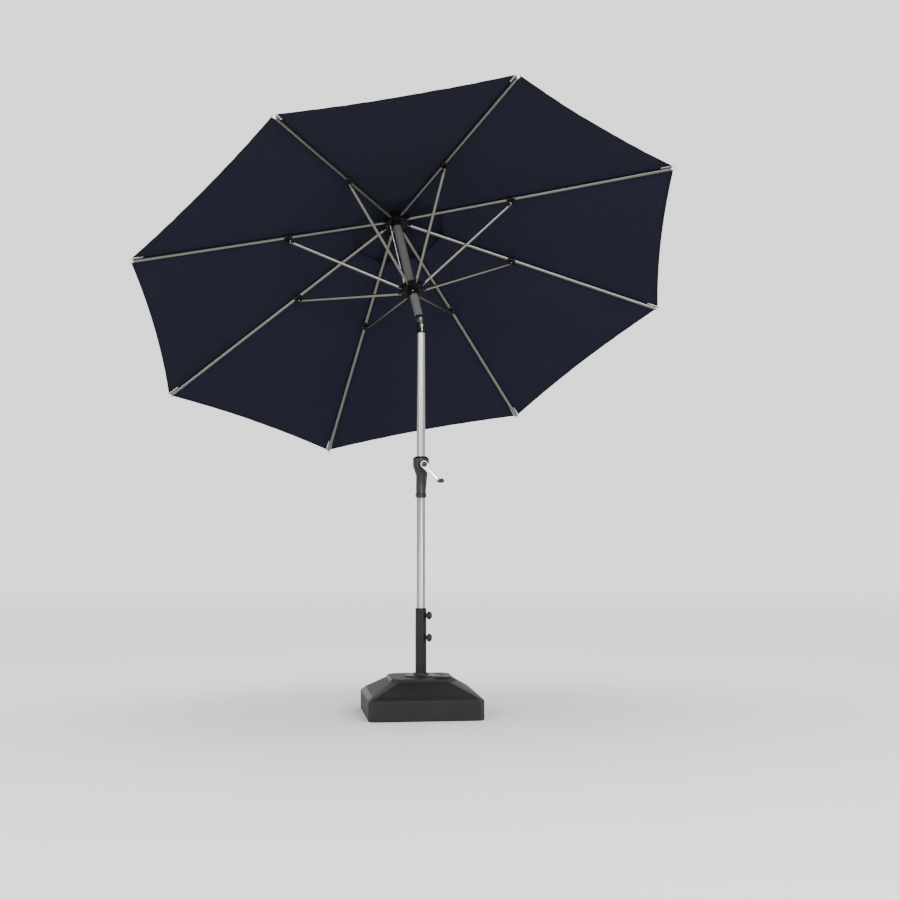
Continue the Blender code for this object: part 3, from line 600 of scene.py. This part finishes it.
def build_vent_roof():
    """The small roof that stands clear over the vent, and is sewn down beside each rib."""
    slope_run = VENT_CAP_R - VENT_CAP_FLAT
    bm = bmesh.new()
    uv = bm.loops.layers.uv.new("weave")
    from_rib = bm.verts.layers.float.new("from_rib")
    from_hem = bm.verts.layers.float.new("from_hem")
    base = spoke(0)
    steps = [0.010, 0.022, VENT_CAP_FLAT] + [VENT_CAP_FLAT + slope_run * i / 16 for i in range(1, 16)]
    steps += [VENT_CAP_R - 0.004, VENT_CAP_R]
    columns = 12
    grid, flat = [], {}
    area = 0.0
    for radius in steps:
        line = []
        for i in range(RIBS * columns):
            rib, share = divmod(i / columns, 1)
            toward = min(share, 1 - share) * 2
            corner_a = Matrix.Rotation(rib * SPOKE_STEP, 3, "Z") @ Vector((radius, 0, 0))
            corner_b = Matrix.Rotation((rib + 1) * SPOKE_STEP, 3, "Z") @ Vector((radius, 0, 0))
            point = corner_a.lerp(corner_b, share)
            reach = max(0.0, (radius - VENT_CAP_FLAT) / slope_run)
            bow = 0.006 * reach ** 2 * math.sin(math.pi * share)
            point *= 1 - bow / max(point.length, 0.01)
            height = VENT_CAP_TOP + (VENT_CAP_HEM - VENT_CAP_TOP) * reach
            sag = 0.0045 * math.sin(math.pi * share) * math.sin(math.pi * min(1, 0.15 + 0.6 * reach)) * reach
            point.z = height - sag
            world = base @ point
            point.z += 0.0012 * reach * toward * noise.noise(world * 14)
            vert = bm.verts.new(base @ point)
            vert[from_rib] = toward * radius * math.sin(math.pi / 8)
            vert[from_hem] = VENT_CAP_R - radius
            flat[vert] = ((share - 0.5) * radius * 0.765, radius)
            line.append(vert)
        grid.append(line)
    for inner, outer in zip(grid, grid[1:]):
        for i in range(RIBS * columns):
            j = (i + 1) % (RIBS * columns)
            area += bm.faces.new((inner[i], outer[i], outer[j], inner[j])).calc_area()
    for face in bm.faces:
        for loop in face.loops:
            loop[uv].uv = flat[loop.vert]
    roof = doubled(new_piece("vent_roof", bm, "canopy_cloth", "canopy_top", smooth=60), UP)
    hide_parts("vent_canopy")


def build_rib_trim(k):
    """What is on a rib: its bright end cap, the pocket's pale strap under the cloth (a strap whose white is also a
    painted highlight standing in for the bright reflection at the rib's end), and rivets.
    """
    axes = rib_axes(k)
    body = f"rib_{k + 1}"
    turn = Matrix.Rotation(math.radians(90), 4, "Y")
    end = RIB_LENGTH
    bm = turned(bmesh.new(), [
        (0, end + 0.0030), (0.0045, end + 0.0026), (0.0070, end + 0.0010), (0.0084, end - 0.0020),
        (0.0086, end - 0.0045), (0.0086, end - 0.0120), (RIB_R + 0.0001, end - 0.0124),
        (RIB_R + 0.0001, end - 0.0044), (0.0070, end + 0.0001), (0, end + 0.0003)], axes @ turn, 32)
    new_piece(f"rib_cap_{k + 1}", bm, "rib_grey", body, [BRIGHT_CAP])

    # the pocket strap: its pale white is partly a painted highlight where the rib's end shows a bright reflection
    bm = bmesh.new()
    rows = []
    length, wide, steps = 0.058, 0.0125, 10
    for i in range(steps + 1):
        x = end - 0.004 - length * i / steps
        row = []
        for j in range(9):
            v = -1 + j / 4
            across = v * wide * (1 - 0.12 * (i / steps) ** 4)
            dip = 0.0012 + 0.131 * abs(across)
            row.append(bm.verts.new(axes @ Vector((x, across, CLOTH_LIFT - dip))))
        rows.append(row)
    for lower, upper in zip(rows, rows[1:]):
        for a, b, c, d in zip(lower, lower[1:], upper[1:], upper):
            bm.faces.new((a, b, c, d))
    strap = new_piece(f"rib_strap_painted_highlight_{k + 1}", bm, "cord_white", body, [PALE_STRAP_PAINTED_HIGHLIGHT], smooth=70)
    doubled(strap, UP)

    bm = bmesh.new()
    width = 0.0030
    for x in (BRACKET_AT - 0.013, BRACKET_AT + 0.013):
        for side in (-1, 1):
            place = axes @ Matrix.Translation((x, side * (RIB_R + 0.0030), -0.001))
            place = place @ Matrix.Rotation(math.radians(-90 * side), 4, "X")
            turned(bm, [(0, 0), (width, 0), (width, 0.0006), (width * 0.6, 0.0013), (0, 0.0015)], place, 20)
    for side in (-1, 1):
        place = axes @ Matrix.Translation((BRACKET_AT, side * 0.0056, -BRACKET_DROP))
        place = place @ Matrix.Rotation(math.radians(-90 * side), 4, "X")
        turned(bm, [(0, 0), (0.0036, 0), (0.0036, 0.0007), (0.0022, 0.0017), (0, 0.0019)], place, 20)
    new_piece(f"bracket_rivets_{k + 1}", bm, "rib_grey", body, [BRIGHT_CAP])


# ---------------------------------------------------------------- lift cord
def cord_out():
    hub = Vector(JOINTS["pulley_turn"]["pos_m"])
    out = hub - CROWN
    return (out - UP * out.dot(UP)).normalized()


def twisted(bm, start, end, radius, strands=3, pitch=0.013):
    """Strands laid round each other along a straight run."""
    run = end - start
    axis = run.normalized()
    side = axis.orthogonal().normalized()
    other = axis.cross(side)
    count = max(8, int(run.length / pitch * 12))
    strand_r = radius * 0.52
    lay = radius * 0.48
    for strand in range(strands):
        rings = []
        for i in range(count + 1):
            share = i / count
            turn = 2 * math.pi * (share * run.length / pitch + strand / strands)
            out = side * math.cos(turn) + other * math.sin(turn)
            centre = start + run * share + out * lay
            across = axis.cross(out)
            rings.append([bm.verts.new(centre + strand_r * (
                out * math.cos(a) + (across * 0.9 + axis * 0.3) * math.sin(a)))
                for a in [math.pi * j / 4 for j in range(8)]])
        for lower, upper in zip(rings, rings[1:]):
            for j in range(8):
                bm.faces.new((lower[j], lower[(j + 1) % 8], upper[(j + 1) % 8], upper[j]))
        bm.faces.new(rings[0][::-1])
        bm.faces.new(rings[-1])
    return bm


def build_lift_cord():
    out = cord_out()
    top = CROWN + out * CORD_OUT
    low = top - UP * (RUNNER_DROP - 0.0135)
    cord = new_piece("lift_cord_run", twisted(bmesh.new(), top - UP * 0.010, low, CORD_R),
                     "cord_white", None, smooth=80)
    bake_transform(cord)
    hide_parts("lift_cord")

    across = UP.cross(Vector(JOINTS["tilt_hinge"]["axis"])).normalized() * CORD_OFFSET
    start = PIVOT + UP * 0.02
    front = start - across
    if (front - PIVOT).y > 0.012:
        front = start + across
    centre = CROWN + out * PULLEY_OUT + UP * PULLEY_Z
    wrap = [centre + 0.013 * (-out * math.cos(math.pi * i / 12) + UP * math.sin(math.pi * i / 12))
            for i in range(13)]
    route = [front, front + UP * 0.10, CROWN + out * 0.004 - UP * 0.10, CROWN + out * 0.004] + wrap
    route.append(top - UP * 0.010)
    curve = bpy.data.curves.new("lift_cord_inner", "CURVE")
    curve.dimensions = "3D"
    curve.bevel_depth = CORD_R
    curve.bevel_resolution = 3
    curve.use_fill_caps = True
    spline = curve.splines.new("POLY")
    spline.points.add(len(route) - 1)
    for knot, at in zip(spline.points, route):
        knot.co = (*at, 1)
    inner = bpy.data.objects.new("lift_cord_inner", curve)
    bpy.context.scene.collection.objects.link(inner)
    curve.materials.append(MATERIALS["cord_white"])
    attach(inner, "canopy_top")

    crimp = turned(bmesh.new(), [
        (0, -0.007), (0.0030, -0.0070), (0.0036, -0.0055), (0.0036, 0.0055), (0.0030, 0.0070), (0, 0.0070)],
        along(UP, top - UP * 0.040), 24)
    new_piece("cord_crimp", crimp, "tilt_steel", "canopy_top")


# ---------------------------------------------------------------- hubs, crank and fasteners
def build_fasteners():
    """Screw heads on the hubs, runner neck and crank housing."""
    head = [(0, 0), (0.0027, 0), (0.0027, 0.0008), (0.0018, 0.0016), (0, 0.0018)]
    for body, out, drop in (("runner", 0.0410, RUNNER_DROP + 0.0130), ("canopy_top", 0.0480, 0.0120)):
        bm = bmesh.new()
        for k in range(RIBS):
            axes = spoke(k) @ Matrix.Rotation(math.radians(22.5), 4, "Z")
            turned(bm, head, axes @ Matrix.Translation((out, 0, -drop)) @ Matrix.Rotation(math.pi, 4, "X"),
                   sides=20)
        new_piece(f"{body}_rivets", bm, "hub_black", body)

    facing = Vector((-math.sin(CAMERA_SIDE), -math.cos(CAMERA_SIDE), 0))
    facing = (facing - UP * facing.dot(UP)).normalized()
    neck = CROWN - UP * (RUNNER_DROP + 0.027)
    bm = turned(bmesh.new(), [
        (0, -0.001), (0.0036, -0.001), (0.0036, 0.0010), (0.0024, 0.0022), (0, 0.0025)],
        along(facing, neck + facing * 0.0265), sides=24)
    new_piece("runner_screw", bm, "tilt_steel", "runner")

    crank = JOINTS["crank_turn"]
    front = Vector(crank["axis"])
    centre = Vector(crank["pos_m"])
    right = front.cross(Vector((0, 0, -1))).normalized()
    bm = bmesh.new()
    for side, height in ((-1, 0.020), (1, 0.020), (-1, -0.012), (1, -0.012)):
        at = centre - front * 0.0292 + right * side * 0.024 + Vector((0, 0, height))
        turned(bm, [(0, -0.002), (0.0030, -0.002), (0.0030, 0.0008), (0.0020, 0.0016), (0, 0.0018)],
               along(-front, at), 20)
    new_piece("housing_screws", bm, "tilt_steel", "pole")


# ---------------------------------------------------------------- stage
def build_stage():
    world = bpy.data.worlds.new("studio")
    bpy.context.scene.world = world
    world.use_nodes = True
    tree = world.node_tree
    sky = tree.nodes["Background"]
    sky.inputs["Strength"].default_value = SKY

    def reach_along(direction):
        dot = tree.nodes.new("ShaderNodeVectorMath")
        dot.operation = "DOT_PRODUCT"
        tree.links.new(tree.nodes.new("ShaderNodeTexCoord").outputs["Generated"], dot.inputs[0])
        dot.inputs[1].default_value = direction
        return dot.outputs["Value"]

    def share(value, low, high):
        step = tree.nodes.new("ShaderNodeMapRange")
        step.interpolation_type = "SMOOTHSTEP"
        tree.links.new(value, step.inputs["Value"])
        step.inputs["From Min"].default_value = low
        step.inputs["From Max"].default_value = high
        return step.outputs["Result"]

    def combined(operation, a, b=0.0):
        made = tree.nodes.new("ShaderNodeMath")
        made.operation = operation
        tree.links.new(a, made.inputs[0])
        if isinstance(b, float):
            made.inputs[1].default_value = b
        else:
            tree.links.new(b, made.inputs[1])
        return made.outputs[0]

    # two grey flags stand behind the umbrella, either side of the pale backdrop, and the room
    # in front is dimmer above eye level
    ahead = (math.sin(CAMERA_SIDE), math.cos(CAMERA_SIDE), 0)
    aside = (math.cos(CAMERA_SIDE), -math.sin(CAMERA_SIDE), 0)
    sides = share(combined("ABSOLUTE", reach_along(aside)), 0.30, 0.46)
    flags = combined("MULTIPLY", sides, share(reach_along(ahead), 0.25, 0.55))
    room = combined("MULTIPLY", share(reach_along((0, 0, 1)), -0.02, 0.22),
                    share(combined("MULTIPLY", reach_along(ahead), -1.0), 0.05, 0.45))
    flags = combined("MAXIMUM", flags, combined("MULTIPLY", room, 0.65))
    tone = tree.nodes.new("ShaderNodeMix")
    tone.data_type = "RGBA"
    tree.links.new(flags, tone.inputs["Factor"])
    tone.inputs["A"].default_value = (1.0, 1.0, 1.0, 1)
    tone.inputs["B"].default_value = (0.48, 0.48, 0.48, 1)
    tree.links.new(tone.outputs["Result"], sky.inputs["Color"])

    bm = bmesh.new()
    bmesh.ops.create_grid(bm, x_segments=2, y_segments=2, size=400)
    mesh = bpy.data.meshes.new("floor")
    bm.to_mesh(mesh)
    bm.free()
    floor = bpy.data.objects.new("floor", mesh)
    bpy.context.scene.collection.objects.link(floor)
    floor.location.z = -0.0005
    n = Nodes("floor_pale")
    away = n.node("ShaderNodeVectorMath", operation="LENGTH")
    n.link(n.place(), away.inputs[0])
    far = n.ramp(away.outputs["Value"], 2.5, 12.0)
    n.link((1.0, 1.0, 1.0), n.shader.inputs["Emission Color"])
    n.link(n.math("MULTIPLY", far, SKY), n.shader.inputs["Emission Strength"])
    pale = n.mix(n.noise(0.6), (0.80, 0.80, 0.80), (0.84, 0.84, 0.84))
    mesh.materials.append(n.done(n.mix(far, pale, (0.0, 0.0, 0.0)), 0.85, Specular_IOR_Level=0.1))

    def area(name, at, towards, size, power):
        light = bpy.data.lights.new(name, "AREA")
        light.shape = "RECTANGLE"
        light.size, light.size_y = size
        light.energy = power
        lamp = bpy.data.objects.new(name, light)
        bpy.context.scene.collection.objects.link(lamp)
        lamp.location = at
        lamp.rotation_euler = (Vector(towards) - Vector(at)).to_track_quat("-Z", "Y").to_euler()

    area("key", (2.5, -9.5, 4.0), (0, 0, 1.2), (5.0, 4.0), 900)
    area("fill", (-6.5, -7.5, 2.5), (0, 0, 1.3), (4.0, 4.0), 350)
    area("top", (0.0, 0.5, 7.0), (0, 0.3, 0.0), (4.0, 4.0), 200)


def build_camera():
    heading = CAMERA_YAW + CAMERA_SIDE
    camera = bpy.data.objects.new("camera", bpy.data.cameras.new("camera"))
    bpy.context.scene.collection.objects.link(camera)
    camera.data.lens = CAMERA_LENS
    camera.data.sensor_width = 36.0
    camera.data.clip_end = 1000.0
    camera.location = (-math.sin(CAMERA_SIDE) * CAMERA_REACH, -math.cos(CAMERA_SIDE) * CAMERA_REACH,
                       CAMERA_HEIGHT)
    forward = Vector((math.sin(heading) * math.cos(CAMERA_PITCH),
                      math.cos(heading) * math.cos(CAMERA_PITCH), math.sin(CAMERA_PITCH)))
    camera.rotation_euler = forward.to_track_quat("-Z", "Y").to_euler()
    bpy.context.scene.camera = camera


# ---------------------------------------------------------------- assembly
REPLACED_BY_OWN_PIECE = {"base_tank", "tube_flange", "clamp_knob_upper", "clamp_knob_lower", "fill_cap",
                         "vent_canopy", "lift_cord", "base_tube", "ballast"}
BLACKENED = {"tilt_fork", "tilt_pin", "tilt_button"}
EDGES = {"crank_housing_front": 0.0012, "crank_housing_back": 0.0012, "crank_arm": 0.0008,
         "crank_knob": 0.0008, "tilt_tongue": 0.0008, "crown_hub": 0.0007, "runner_hub": 0.0007}

build_camera()
build_stage()
build_base()
build_fill_cap()
for node in sorted(frame["nodes"]):
    if node not in REPLACED_BY_OWN_PIECE and not node.startswith("canopy_panel"):
        look = refined(node, EDGES.get(node, 0.0004))
        if node in BLACKENED:
            look.data.materials[0] = MATERIALS["hub_black"]
for k in range(RIBS):
    build_gore(k)
    build_rib_trim(k)
build_vent_roof()
build_lift_cord()
build_fasteners()
